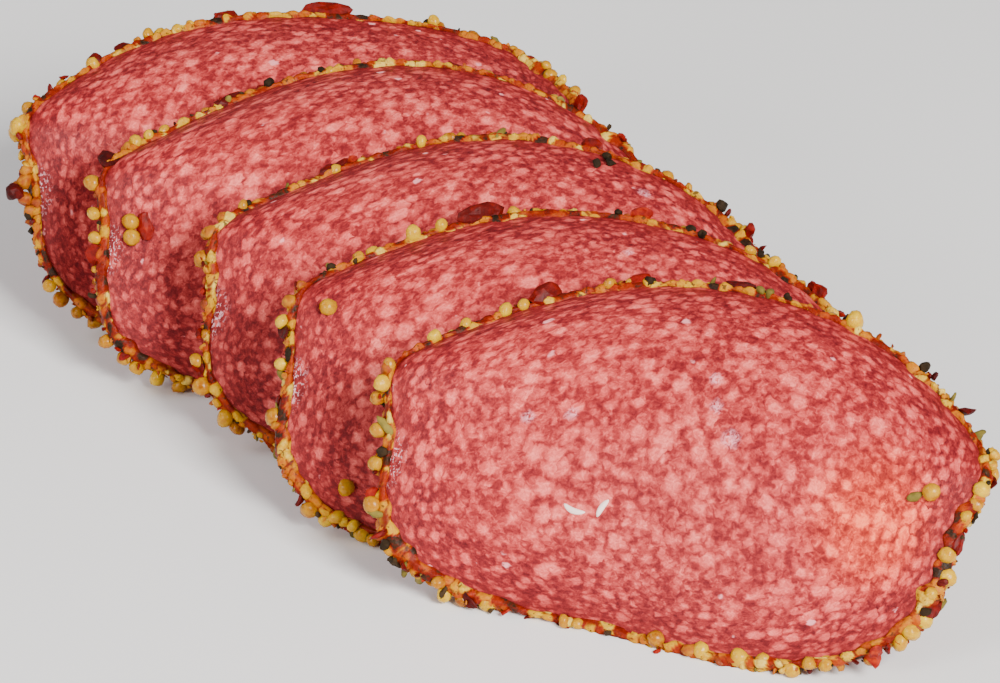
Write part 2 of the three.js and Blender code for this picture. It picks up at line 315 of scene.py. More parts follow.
def fat_bits(tree, place, cell, least, most, soft):
    """Soft-edged bits of fat, one to a cell, with radii from least to most of the cell."""
    inputs = {"Vector": place, "Scale": 1 / cell}
    distance = add_node(tree, "ShaderNodeTexVoronoi", {}, inputs, "Distance")
    drawn = Value(tree, distance.socket.node.outputs["Color"])
    chance = add_node(tree, "ShaderNodeSeparateColor", {}, {"Color": drawn}, "Red")
    radius = chance * (most - least) + least
    return (radius - distance).eased(-soft, soft)


# from the darkest lean to the palest fat
MEAT_TONES = [
    (0.0, (0.09, 0.005, 0.008, 1)), (0.25, (0.18, 0.011, 0.015, 1)),
    (0.45, (0.30, 0.022, 0.024, 1)), (0.62, (0.45, 0.048, 0.046, 1)),
    (0.8, (0.66, 0.092, 0.082, 1)), (1.0, (0.98, 0.225, 0.185, 1)),
]
# what shows in the cut, by its size in millimetres
COARSE_FAT = 2.6
FINE_FAT = 1.5
MINCE = 1.2
SHREDS = 0.4
LEAN_CLOUDS = 5.0
FAT_CLOUDS = 2.2
WARP_SIZE = 1.1
WARP = 1.3
# radii of the bits of fat, as shares of the cell that each lies in
SMALLEST_BIT = 0.12
LARGEST_BIT = 0.5
COARSE_SHOWS = 0.95
FINE_SHOWS = 0.75
FAT_SHOWS = 0.94
# how far along the tones the lean and the fat start, and how far each thing then moves them
LEAN_START = -0.25
MINCE_IN_LEAN = 0.3
SHREDS_IN_LEAN = 0.8
CLOUDS_IN_LEAN = 0.35
FAT_START = 0.49
CLOUDS_IN_FAT = 0.4
SHREDS_IN_FAT = 0.45
# the meat is darker towards the rim, and red right beside it
DARK_REACH = 11.0
LEAN_DARKENS = 0.24
FAT_DARKENS = 0.07
RED_REACH = 4.0
RED_SHARE = 0.4
RIM_RED = (0.20, 0.010, 0.009, 1)
# a warmer part of the front slice at its right, also lightened there as painted light from the
# right
WARM_AND_LIT_PATCH = (29.0, -2.0, 4 * SLICE_APART)
PATCH_TINT = (1.22, 1.04, 0.6, 1)
PATCH_PAINTED_LIGHT = 0.04
# small pale bits at random
GLINT_CELL = 4.5
GLINT_SHIFT = (7.0, 3.0, 5.0)
GLINT_SHARE = 0.8
PALE_GLINT = (1.0, 0.36, 0.38, 1)
# pale lilac bits in the photograph, each by its place in the grain and its radius
LILAC_SPOTS = [
    ((2.6, 5.9, 4 * SLICE_APART), 1.1), ((5.8, 2.2, 4 * SLICE_APART), 1.4),
    ((1.0, 9.8, 4 * SLICE_APART), 1.1), ((-20.4, 0.7, 4 * SLICE_APART), 1.0),
    ((-15.0, 1.6, 4 * SLICE_APART), 0.9), ((0.0, 21.8, 3 * SLICE_APART), 1.0),
    ((16.5, 23.5, 2 * SLICE_APART), 1.4),
]
LILAC = (1.0, 0.42, 0.5, 1)
LILAC_SHARE = 0.6
# painted highlight: pale sparkles at every slice's left rim, for light glinting on moist fat
PAINTED_SHEEN_PLACE = (-45.0, -6.0, 0.0)
PAINTED_SHEEN_SIZE = 0.6
PAINTED_SHEEN_SHARE = 0.7
PAINTED_SHEEN_TINT = (1.0, 0.62, 0.68, 1)


def ramp(tree, factor, stops):
    """A colour ramp through the given stops."""
    value = add_node(tree, "ShaderNodeValToRGB", {}, {"Fac": factor}, "Color")
    elements = value.socket.node.color_ramp.elements
    while len(elements) < len(stops):
        elements.new(1.0)
    for element, (place, tint) in zip(elements, stops):
        element.position = place
        element.color = tint
    return value


meat, tree, shader = new_material(
    "cured_meat", Subsurface_Weight=0.08, Subsurface_Scale=0.0008, Specular_IOR_Level=0.12,
    Coat_Roughness=0.12,
)
grain = attribute(tree, "grain")
inward = attribute(tree, "inward", "Fac")
wobble = noise_at(tree, grain, WARP_SIZE, 2, "Color")
wobble = vector_math(tree, "SUBTRACT", wobble, (0.5, 0.5, 0.5))
warped = vector_math(tree, "MULTIPLY_ADD", wobble, (WARP, WARP, WARP), grain)
coarse = fat_bits(tree, warped, COARSE_FAT, SMALLEST_BIT, LARGEST_BIT, 0.2)
fine = fat_bits(tree, warped, FINE_FAT, SMALLEST_BIT, LARGEST_BIT, 0.25)
fat = 1 - (1 - coarse * COARSE_SHOWS) * (1 - fine * FINE_SHOWS)
mince = noise_at(tree, warped, MINCE, 4).eased(0.36, 0.62)
shreds = noise_at(tree, warped, SHREDS, 5)
clouds = noise_at(tree, grain, LEAN_CLOUDS, 2)
fat_clouds = noise_at(tree, warped, FAT_CLOUDS, 3)
near_rim = 1 - inward.eased(0.0, DARK_REACH)
lean_tone = mince * MINCE_IN_LEAN + shreds * SHREDS_IN_LEAN + clouds * CLOUDS_IN_LEAN + LEAN_START
lean_tone = lean_tone - near_rim * LEAN_DARKENS
fat_tone = fat_clouds * CLOUDS_IN_FAT + shreds * SHREDS_IN_FAT + FAT_START
fat_tone = fat_tone - near_rim * FAT_DARKENS
tone = lean_tone + (fat_tone - lean_tone) * fat * FAT_SHOWS

# the front slice's right: a warmer colour of its own, plus painted light where light from the right
# falls
warm_and_lit_patch = 1 - away_from(tree, grain, WARM_AND_LIT_PATCH, (1, 1, 3)).eased(4.0, 15.0)
patch_tint = mixed(tree, warm_and_lit_patch, (1, 1, 1, 1), PATCH_TINT)
meat_tint = ramp(tree, tone + warm_and_lit_patch * PATCH_PAINTED_LIGHT, MEAT_TONES)
meat_tint = vector_math(tree, "MULTIPLY", meat_tint, patch_tint)
red = (1 - inward.eased(0.0, RED_REACH)) * RED_SHARE
meat_tint = mixed(tree, red, meat_tint, RIM_RED)
glint_place = vector_math(tree, "ADD", warped, GLINT_SHIFT)
glint = fat_bits(tree, glint_place, GLINT_CELL, -0.25, 0.16, 0.04)
meat_tint = mixed(tree, glint * GLINT_SHARE, meat_tint, PALE_GLINT)
for place, radius in LILAC_SPOTS:
    spot_share = 1 - away_from(tree, warped, place).eased(radius * 0.2, radius * 1.2)
    spot_share = spot_share * shreds.eased(0.35, 0.6) * LILAC_SHARE
    meat_tint = mixed(tree, spot_share, meat_tint, LILAC)
# painted highlight: pale sparkles mixed into the base colour near every slice's left rim
painted_sheen = 1 - away_from(tree, grain, PAINTED_SHEEN_PLACE, (1, 1, 0)).eased(1.0, 6.5)
painted_sheen = painted_sheen * noise_at(tree, warped, PAINTED_SHEEN_SIZE, 3).eased(0.55, 0.62)
meat_tint = mixed(tree, painted_sheen * PAINTED_SHEEN_SHARE, meat_tint, PAINTED_SHEEN_TINT)

across = add_node(tree, "ShaderNodeSeparateXYZ", {}, {"Vector": grain}, "X")
at_left = 1 - across.eased(-60.0, -30.0)
wet = (1 - inward.eased(0.5, 3.5)) * at_left * noise_at(tree, grain, 2.5, 3).eased(0.45, 0.6)
feed(
    tree, shader,
    Base_Color=meat_tint,
    Roughness=0.4 - fat * 0.1 + noise_at(tree, grain, 0.6, 3) * 0.14,
    Coat_Weight=wet * 0.8,
    Normal=bump(tree, fat * 0.3 + noise_at(tree, grain, SHREDS, 3) * 0.7, 0.1),
)

sheets = []
for index, cut in enumerate(SLICES):
    points, faces, grain_points, rim_points = meat_sheet(cut, index)
    sheets.append(BVHTree.FromPolygons(points.tolist(), faces))
    piece = mesh_piece(
        "meat_" + cut["name"], points, faces, {"grain": grain_points, "inward": rim_points}, meat
    )
    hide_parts(cut["name"])


# Crust
# A rim of dried paste, about 1 mm wide, that glues the crushed spices to the sausage's outside.
# It wraps the edge of each slice, each chunk of spice in it a lump with a colour of its own.
CRUST_WIDTH = 1.1
CRUST_WAVE = 0.45
SLOW_WAVES = 5
SLOW_SHARE = 0.6
QUICK_WAVES = 13
QUICK_SHIFT = 2.3  # times the slice's seed
RIM_STEPS = 720
# where around the rim the crust is thinner, and by what share
THIN_PLACES = [(0.9 * 2 * math.pi, 0.4), (0.6 * 2 * math.pi, 0.4)]
THIN_SHARPNESS = 6
CHUNK_SIZE = 1.5
CHUNK_EDGE = 0.5  # share of a chunk's size over which its side slopes down
CHUNK_STANDS = 0.7
LOWEST_CHUNK = 0.3  # height of the lowest chunks as a share of the highest
PASTE_DEPTH = 0.3  # how deep the paste between two chunks lies
PASTE_FROM = 0.3  # the share of the crust's width from which the paste lies deeper
CHUNKS_FROM = -0.6  # the share of the crust's width from which the chunks rise
# how far the crust laps over the cut face, as a share of its width there
OVERLAP_RUN = 2.6
OVERLAP_MIDDLE = 0.75
OVERLAP_SWING = 1.5
OVERLAP_LIMITS = (0.15, 1.6)
# the crust's section as shares of its width, and heights from the cut face
CRUST_SECTION = [
    (-0.5, 0.02), (-0.25, 0.2), (0.0, 0.34), (0.3, 0.42), (0.6, 0.4), (0.9, 0.25), (1.1, 0.0),
    (1.2, -0.35), (1.22, -0.75), (1.22, -1.15), (1.2, -1.5), (1.1, -1.85), (0.85, -2.15),
    (0.5, -2.3), (0.15, -2.32), (-0.2, -2.28), (-0.5, -2.22), (-0.6, -1.1),
]


def crust_width(cut, around):
    """The crust's width at a turn around the rim, from 0 to 1."""
    angle = 2 * math.pi * around
    slow = np.sin(SLOW_WAVES * angle + cut["seed"])
    quick = np.sin(QUICK_WAVES * angle + QUICK_SHIFT * cut["seed"])
    width = CRUST_WIDTH + CRUST_WAVE * (SLOW_SHARE * slow + (1 - SLOW_SHARE) * quick)
    for middle, thinner in THIN_PLACES:
        beside = np.maximum(np.cos(angle - middle), 0)
        width = width * (1 - thinner * beside ** THIN_SHARPNESS)
    return width


def rim_place(cut, around):
    """The direction on the rim, as across and deep, at a turn around it from 0 to 1."""
    lengths = (HALF_WIDTH, cut["half_depth"]) * 2
    corners = ((-1, -1), (1, -1), (1, 1), (-1, 1))
    left = (around % 1) * sum(lengths)
    side = 0
    while left > lengths[side]:
        left -= lengths[side]
        side = (side + 1) % 4
    start, end = corners[side], corners[(side + 1) % 4]
    part = left / lengths[side]
    return tuple(a + (b - a) * part for a, b in zip(start, end))


def rim_frame(cut, place, grow, height):
    """A placement on the rim: x points out of the crust and z out of the cut face."""
    u, v = outline(cut, *place, grow)
    out_u, out_v = outline(cut, *place, grow + 1)
    at = skin(cut, u, v, height)
    normal = normal_at(cut, u, v)
    out = skin(cut, out_u, out_v, height) - at
    out = out - normal * np.dot(out, normal)
    out = out / np.linalg.norm(out)
    along = np.cross(normal, out)
    return Matrix(np.column_stack([out, along, normal]).tolist()).to_4x4(), Vector(at)


def neighbours_of(index):
    return [sheets[k] for k in (index - 1, index + 1) if 0 <= k < len(sheets)]


def room_at(index, place):
    """The distance from a point to the slices next to a slice, in millimetres."""
    return min(tree.find_nearest(Vector(place))[3] for tree in neighbours_of(index))


def chunk_at(point):
    """How far inside a chunk of spice a point is, from 0 to 1, and the chunk's own shade."""
    distances, middles = noise.voronoi(Vector(point) / CHUNK_SIZE)
    inside = min((distances[1] - distances[0]) / CHUNK_EDGE, 1)
    return inside, abs(noise.cell(middles[0] * 71))


def crust_ring(cut, index):
    """The crust's points and faces, and for each point its chunk's inside and shade."""
    turns = np.arange(RIM_STEPS) / RIM_STEPS
    places = np.array([rim_place(cut, turn) for turn in turns])
    width = crust_width(cut, turns)
    rim = skin(cut, *outline(cut, places[:, 0], places[:, 1], 0), np.zeros(RIM_STEPS))
    swing = np.array([noise.noise(Vector(point) / OVERLAP_RUN) for point in rim])
    overlap = np.clip(OVERLAP_MIDDLE + OVERLAP_SWING * swing, *OVERLAP_LIMITS)
    rings = []
    for share, height in CRUST_SECTION:
        grow = width * share * (overlap if share < 0 else 1)
        u, v = outline(cut, places[:, 0], places[:, 1], grow)
        rings.append(skin(cut, u, v, np.full(RIM_STEPS, height)))
    centre = sum(rings) / len(rings)
    points, inside, shade = [], [], []
    for ring, (share, _) in zip(rings, CRUST_SECTION):
        for point, middle in zip(ring, centre):
            deep, tone = chunk_at(point)
            away = Vector(point - middle).normalized()
            room = min(room_at(index, point), 1.0)
            lump = deep * CHUNK_STANDS * (LOWEST_CHUNK + (1 - LOWEST_CHUNK) * tone)
            lump = lump - PASTE_DEPTH * (share > PASTE_FROM)
            moved = Vector(point) + away * lump * room * min(max(share - CHUNKS_FROM, 0), 1)
            points.append((moved.x, moved.y, max(moved.z, 0)))
            inside.append(deep)
            shade.append(tone)
    numbers = [list(range(k * RIM_STEPS, (k + 1) * RIM_STEPS)) for k in range(len(rings))]
    return np.array(points), join_bands(numbers + numbers[:1]), inside, shade


# from peppercorn black through chilli red and orange paste to pale cracked seed
CRUST_TONES = [
    (0.0, (0.016, 0.008, 0.004, 1)), (0.08, (0.04, 0.014, 0.005, 1)),
    (0.15, (0.13, 0.004, 0.001, 1)), (0.34, (0.28, 0.018, 0.001, 1)),
    (0.5, (0.38, 0.06, 0.001, 1)), (0.7, (0.48, 0.16, 0.001, 1)),
    (0.88, (0.56, 0.30, 0.003, 1)), (1.0, (0.70, 0.48, 0.08, 1)),
]
CRUMBLY_SIZE = 0.45
GLAZE = (0.16, 0.010, 0.002, 1)
SPECK_SIZE = 0.7
SPECK = (0.05, 0.02, 0.008, 1)

paste, tree, shader = new_material(
    "spice_paste", Subsurface_Weight=0.1, Subsurface_Scale=0.0008, Specular_IOR_Level=0.12,
)
place = attribute(tree, "place")
inside = attribute(tree, "inside", "Fac")
shade = attribute(tree, "shade", "Fac")
crumbly = noise_at(tree, place, CRUMBLY_SIZE, 4)
base = ramp(tree, shade + (crumbly - 0.5) * 0.35, CRUST_TONES)
base = mixed(tree, inside.eased(0.0, 0.35), GLAZE, base)
specks = noise_at(tree, place, SPECK_SIZE, 2).eased(0.63, 0.7)
base = mixed(tree, specks * 0.8, base, SPECK)
feed(
    tree, shader, Base_Color=base, Roughness=crumbly * 0.4 + 0.2,
    Normal=bump(tree, crumbly, 0.18),
)

for index, cut in enumerate(SLICES):
    points, faces, inside_points, shade_points = crust_ring(cut, index)
    layers = {"place": points, "inside": inside_points, "shade": shade_points}
    mesh_piece("crust_" + cut["name"], points, faces, layers, paste)


# Mustard seeds
# Whole yellow seeds, mostly 2.0 to 2.6 mm across, pressed into the paste one by one, and a few
# that have come loose and stick to the cut faces.
SEEDS_PER_RIM = 47
SEED_RADIUS = 1.15
SEED_SIZES = (0.88, 1.12)
SEED_SQUASH = 0.85
SEED_JITTER = 0.7
SEED_STANDS = 0.25
SEED_HEIGHT = -0.9
SEED_SCATTER = 1.0
BARE_RUNS = 7
BARE_ABOVE = 0.35
LOOSE_RISE = 0.5
COATED = (0.48, 0.7)  # from where to where around the rim paste covers most seeds
COATED_SHADE = 0.4
# clusters of seeds nearer the cut face on each rim, and how many each tries to hold
CLUSTERS = {"slice_1": 9, "slice_2": 9, "slice_3": 10, "slice_4": 9, "slice_5": 18}
IN_CLUSTER = 4
CLUSTER_SPREAD = 0.02  # of a turn around the rim
CLUSTER_OUT = (0.3, 1.1)
CLUSTER_HEIGHT = (-0.3, 0.4)
CLUSTER_RADIUS = (0.75, 1.2)
CLUSTER_SQUASH = (0.65, 0.95)
SEEDS_APART = 1.7
PLACED_SHAPE = (1.0, 0.8, 0.9)
PRESSED_IN = 0.5  # the room a topping needs to the next slice, as a share of its reach
# seeds that stand out in the photograph: direction from the slice's middle, out, up, radius
# and a shade from 0, dark, to 1
STANDING_SEEDS = {
    "slice_1": [(69, 0.9, 0.4, 1.15, 0.8), (170, 1.3, 0.1, 1.5, 0.8), (40, 0.8, 0.4, 1.0, 0.5)],
    "slice_2": [(153, 0.8, 0.5, 1.1, 0.7), (150, 0.7, 0.6, 0.9, 0.9), (147, 0.7, 0.3, 0.9, 0.6)],
    "slice_3": [(153, 0.7, 0.4, 1.0, 0.4), (120, 0.6, 0.4, 1.0, 0.9), (46, 0.9, 0.4, 1.0, 0.8)],
    "slice_4": [
        (136, 0.6, 0.7, 1.3, 0.9), (131, 0.6, 0.6, 1.0, 0.9), (63, 0.9, 0.4, 1.1, 0.8),
        (68, 0.7, 0.3, 1.0, 0.6),
    ],
    "slice_5": [
        (162, 0.8, 0.4, 1.1, 0.3), (150, 0.7, 0.4, 1.1, 1.0), (137, 0.6, 0.4, 1.1, 0.9),
        (134, 0.6, 0.3, 1.0, 0.7), (70, 0.9, 0.7, 1.4, 0.9), (30, 1.0, 0.4, 1.1, 0.9),
        (328, 1.3, -0.5, 1.3, 0.7), (144, 0.7, 0.3, 1.0, 0.8),
    ],
}
# places on the flat cut face
LOOSE_SEEDS = {
    "slice_2": [(-32.4, -0.9), (-31.9, -3.3)],
    "slice_4": [(-24.6, -18.7), (-32.6, 6.0)],
    "slice_5": [(31.4, 5.0)],
}


def draws(seed):
    """A repeatable stream of random numbers from 0 to 1."""
    state = seed
    while True:
        state = (state * 1664525 + 1013904223) % 4294967296
        yield state / 4294967296


def between(limits, part):
    """The value a part of the way from the lower limit to the upper one."""
    return limits[0] + (limits[1] - limits[0]) * part


def spot(at, turned, size, tone):
    """One topping's place: its middle, its turn, its three sizes and a shade from 0 to 1."""
    return dict(at=tuple(at), turned=tuple(turned.to_euler()), size=tuple(size), tone=tone)


def rim_spot(cut, index, around, grow, height, turns, size, tone):
    """A topping on the crust, or nothing if it would touch the next slice or is under it."""
    frame_turn, at = rim_frame(cut, rim_place(cut, around), grow, height)
    reach = max(size)
    if room_at(index, at) < reach * PRESSED_IN:
        return []
    at.z = max(at.z, min(size))
    return [spot(at, frame_turn @ Euler(turns).to_matrix().to_4x4(), size, tone)]


def direction(degrees):
    """The direction on the rim, as across and deep, at an angle seen from the slice's middle."""
    angle = math.radians(degrees)
    return math.cos(angle), math.sin(angle)


def placed_spots(cut, places):
    """Toppings set one by one from a list, each by its direction, out, up, radius and shade."""
    spots = []
    for at, grow, height, radius, tone in places:
        frame_turn, middle = rim_frame(cut, direction(at), grow, height)
        size = [radius * share for share in PLACED_SHAPE]
        middle.z = max(middle.z, min(size))
        turned = frame_turn @ Euler((at, radius, grow)).to_matrix().to_4x4()
        spots.append(spot(middle, turned, size, tone))
    return spots


def row_of_seeds(cut, index, random):
    """The seeds all around a rim, with bare runs between them."""
    spots = []
    for k in range(SEEDS_PER_RIM):
        around = (k + SEED_JITTER * next(random)) / SEEDS_PER_RIM
        radius = SEED_RADIUS * between(SEED_SIZES, next(random))
        height = SEED_HEIGHT + SEED_SCATTER * (next(random) - 0.5)
        turns = [2 * math.pi * next(random) for _ in range(3)]
        if math.sin(2 * math.pi * BARE_RUNS * around + cut["seed"]) > BARE_ABOVE:
            continue
        size = (radius, radius * SEED_SQUASH, radius)
        grow, tone = CRUST_WIDTH + SEED_STANDS, turns[0] / (2 * math.pi)
        if COATED[0] < around < COATED[1]:
            grow, tone = CRUST_WIDTH - SEED_STANDS, tone * COATED_SHADE
        spots += rim_spot(cut, index, around, grow, height, turns, size, tone)
    return spots


def add_clusters(cut, index, random, spots):
    """Adds clusters of smaller seeds to a list of spots, where none is too near another."""
    for _ in range(CLUSTERS[cut["name"]]):
        middle_turn = next(random)
        for _ in range(IN_CLUSTER):
            around = (middle_turn + CLUSTER_SPREAD * (next(random) - 0.5)) % 1
            grow = between(CLUSTER_OUT, next(random))
            height = between(CLUSTER_HEIGHT, next(random))
            radius = between(CLUSTER_RADIUS, next(random))
            squash = between(CLUSTER_SQUASH, next(random))
            turns = [2 * math.pi * next(random) for _ in range(3)]
            size = (radius, radius * squash, radius)
            more = rim_spot(cut, index, around, grow, height, turns, size, next(random))
            if more and not COATED[0] < around < COATED[1] and all(
                math.dist(more[0]["at"], other["at"]) > SEEDS_APART for other in spots
            ):
                spots += more


def seed_spots():
    spots = []
    for index, cut in enumerate(SLICES):
        random = draws(cut["seed"])
        spots += row_of_seeds(cut, index, random)
        spots += placed_spots(cut, STANDING_SEEDS[cut["name"]])
        add_clusters(cut, index, random, spots)
        for u, v in LOOSE_SEEDS.get(cut["name"], []):
            at = skin(cut, np.array(u), np.array(v), SEED_RADIUS * LOOSE_RISE)
            spots.append(spot(at, Euler((u, v, 0)).to_matrix(), (SEED_RADIUS,) * 3, 0.5))
    return spots


def topping_tree(name, material):
    """Nodes that set a lump on every point, turned and sized, each with its own unevenness."""
    group = bpy.data.node_groups.new(name, "GeometryNodeTree")
    face = group.interface
    face.new_socket("Geometry", in_out="INPUT", socket_type="NodeSocketGeometry")
    face.new_socket("Detail", in_out="INPUT", socket_type="NodeSocketInt")
    face.new_socket("Uneven", in_out="INPUT", socket_type="NodeSocketFloat")
    face.new_socket("Grain", in_out="INPUT", socket_type="NodeSocketFloat")
    face.new_socket("Smooth", in_out="INPUT", socket_type="NodeSocketBool")
    face.new_socket("Geometry", in_out="OUTPUT", socket_type="NodeSocketGeometry")
    entry = group.nodes.new("NodeGroupInput")
    points, detail, unevenness, grain_socket, is_smooth = [
        Value(group, out) for out in entry.outputs[:5]
    ]
    body = add_node(group, "GeometryNodeMeshIcoSphere", {},
                    {"Radius": 1.0, "Subdivisions": detail})
    vector = {"data_type": "FLOAT_VECTOR"}
    turned = add_node(group, "GeometryNodeInputNamedAttribute", vector, {"Name": "turned"})
    size = add_node(group, "GeometryNodeInputNamedAttribute", vector, {"Name": "size"})
    rotation = add_node(group, "FunctionNodeEulerToRotation", {}, {"Euler": turned})
    placed = add_node(group, "GeometryNodeInstanceOnPoints", {},
                      {"Points": points, "Instance": body, "Rotation": rotation, "Scale": size})
    real = add_node(group, "GeometryNodeRealizeInstances", {}, {"Geometry": placed})
    here = add_node(group, "GeometryNodeInputPosition", {}, {})
    rough = add_node(group, "ShaderNodeTexNoise", {},
                     {"Vector": here, "Scale": grain_socket}, "Color")
    centred = vector_math(group, "SUBTRACT", rough, (0.5, 0.5, 0.5))
    shifted = add_node(group, "ShaderNodeVectorMath", {"operation": "SCALE"},
                       {"Vector": centred, "Scale": unevenness})
    moved = add_node(group, "GeometryNodeSetPosition", {}, {"Geometry": real, "Offset": shifted})
    above_table = vector_math(group, "MAXIMUM", here, (-1.0, -1.0, 0.0))
    moved = add_node(group, "GeometryNodeSetPosition", {},
                     {"Geometry": moved, "Position": above_table})
    smooth = add_node(group, "GeometryNodeSetShadeSmooth", {},
                      {"Geometry": moved, "Shade Smooth": is_smooth})
    dressed = add_node(group, "GeometryNodeSetMaterial", {},
                       {"Geometry": smooth, "Material": material})
    leave = group.nodes.new("NodeGroupOutput")
    group.links.new(dressed.socket, leave.inputs[0])
    return group


def set_inputs(modifier, **values):
    """Sets a modifier's named inputs by their identifiers."""
    for item in modifier.node_group.interface.items_tree:
        if item.in_out == "INPUT" and item.name in values:
            modifier[item.identifier] = values[item.name]


def made_plain(piece, name):
    """Turns what the piece's nodes make into its plain mesh and takes the nodes off."""
    evaluated = piece.evaluated_get(bpy.context.evaluated_depsgraph_get())
    mesh = bpy.data.meshes.new_from_object(evaluated)
    mesh.name = name
    piece.modifiers.clear()
    piece.data = mesh


def scatter(name, spots, group, **inputs):
    """A piece made of one topping for each spot."""
    mesh = bpy.data.meshes.new(name + "_points")
    mesh.from_pydata([tuple(Vector(one["at"]) * MM) for one in spots], [], [])
    for key, scale in (("turned", 1), ("size", MM)):
        layer = mesh.attributes.new(key, "FLOAT_VECTOR", "POINT")
        layer.data.foreach_set("vector", [value * scale for one in spots for value in one[key]])
    tones = mesh.attributes.new("tone", "FLOAT", "POINT")
    tones.data.foreach_set("value", [one["tone"] for one in spots])
    piece = bpy.data.objects.new(name, mesh)
    bpy.context.scene.collection.objects.link(piece)
    modifier = piece.modifiers.new("toppings", "NODES")
    modifier.node_group = group
    set_inputs(modifier, **inputs)
    made_plain(piece, name)
    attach(piece, "root")
    return piece


MOTTLE_SIZE = 0.8
MOTTLE_SHARE = 0.9
TONE_SHARE = 0.7
TONE_START = -0.3


def tinted(name, tones, roughness, deep, **constants):
    """A material whose colour runs through the given tones from one topping to the next."""
    material, tree, shader = new_material(name, **constants)
    tone = attribute(tree, "tone", "Fac")
    place = add_node(tree, "ShaderNodeTexCoord", {}, {}, "Object")
    in_mm = vector_math(tree, "MULTIPLY", place, (1 / MM, 1 / MM, 1 / MM))
    mottle = noise_at(tree, in_mm, MOTTLE_SIZE, 3)
    feed(
        tree, shader,
        Base_Color=ramp(tree, tone * TONE_SHARE + mottle * MOTTLE_SHARE + TONE_START, tones),
        Roughness=mottle * 0.25 + roughness,
        Normal=bump(tree, mottle, deep),
    )
    return material


SEED_TONES = [
    (0.0, (0.22, 0.04, 0.0, 1)), (0.25, (0.38, 0.14, 0.0, 1)),
    (0.6, (0.50, 0.25, 0.0, 1)), (1.0, (0.68, 0.43, 0.004, 1)),
]
seed_skin = tinted(
    "mustard_seed", SEED_TONES, 0.14, 0.12,
    Subsurface_Weight=0.12, Subsurface_Scale=0.001, Specular_IOR_Level=0.25,
)
seed_nodes = topping_tree("mustard_seeds", seed_skin)
scatter("mustard_seeds", seed_spots(), seed_nodes,
        Detail=2, Uneven=0.75 * MM, Grain=550.0, Smooth=True)


# Chilli flakes
# Dried red chilli, crushed to thin leathery flakes of 1 to 8 mm that stand out of the paste.
FLAKES_PER_RIM = 6
FLAKE_REACH = 2.0
FLAKE_LENGTHS = (0.49, 0.91)
FLAKE_WIDTHS = (0.4, 0.7)
FLAKE_TIPS = 0.8
FLAKE_TURNS = 3
FLAKE_THICKNESS = 0.7
FLAKE_HEIGHT = -0.5
LARGE_THICKNESS = 1.1
LARGE_OUT = 0.8  # of the crust's width
FACE_THICKNESS = 0.6
FACE_RISE = 0.15
SMALL_FLAKES = 34
SMALL_HEIGHTS = (0.7, -1.5)
SMALL_LENGTHS = (0.5, 1.6)
SMALL_WIDTH = 0.6  # of its length
SMALL_THICKNESS = 0.6
# direction from the slice's middle, half length along the rim, half width across it, height,
# lean of the outer side upwards, and a shade from 0, dark, to 1
LARGE_FLAKES = {
    "slice_1": [
        (93, 3.8, 1.3, 0.5, 55, 0.6), (142, 1.5, 1.0, 0.4, 50, 0.4), (115, 1.8, 0.9, 0.3, 50, 0.5)
    ],
    "slice_2": [
        (160, 2.1, 1.4, 0.2, 25, 0.0), (61, 1.2, 1.3, 0.9, 70, 0.7), (134, 2.6, 0.8, 0.4, 50, 0.3)
    ],
    "slice_3": [
        (84, 1.6, 1.0, 0.4, 55, 0.5), (135, 2.4, 0.8, 0.4, 50, 0.3), (45, 0.8, 1.4, 0.8, 80, 0.6)
    ],
    "slice_4": [
        (124, 3.3, 1.4, 0.8, 60, 0.35), (93, 1.6, 1.0, 0.5, 60, 0.9), (52, 1.6, 1.1, 0.6, 60, 0.6)
    ],
    "slice_5": [
        (130, 2.5, 1.4, 0.8, 60, 0.45), (115, 1.8, 0.9, 0.4, 60, 0.7),
        (359, 1.6, 1.2, -0.3, 20, 0.5), (342, 1.2, 0.8, -0.5, 0, 0.6),
        (290, 2.2, 0.8, -0.6, 0, 0.6), (95, 2.4, 0.7, 0.3, 50, 0.2),
    ],
}
# dark chunks on the back slice's left rim, given as the standing seeds are
DARK_LUMPS = {"slice_1": [(188, 3.0, -0.5, 1.4, 0.0), (189, 2.3, 0.1, 1.0, 0.3)]}
# place on the flat cut face, half length, half width, turn and shade
FACE_FLAKES = {"slice_2": [(-30.6, -2.0, 1.2, 1.9, 10, 0.75)]}


def turned_spot(placed, length, width, thick, turn, lean, tone):
    """A flat topping in a frame, turned about its thickness and with its outer end raised."""
    frame_turn, middle = placed
    flat = Euler((0, 0, math.radians(turn))).to_matrix().to_4x4()
    raised = Euler((0, math.radians(-lean), 0)).to_matrix().to_4x4()
    return spot(middle, frame_turn @ raised @ flat, (length, width, thick), tone)


def face_frame(cut, u, v, height):
    """A placement on the cut face: z points out of it."""
    at = skin(cut, np.array(u), np.array(v), height)
    normal = Vector(normal_at(cut, np.array(u), np.array(v)))
    return normal.to_track_quat("Z", "Y").to_matrix().to_4x4(), Vector(at)


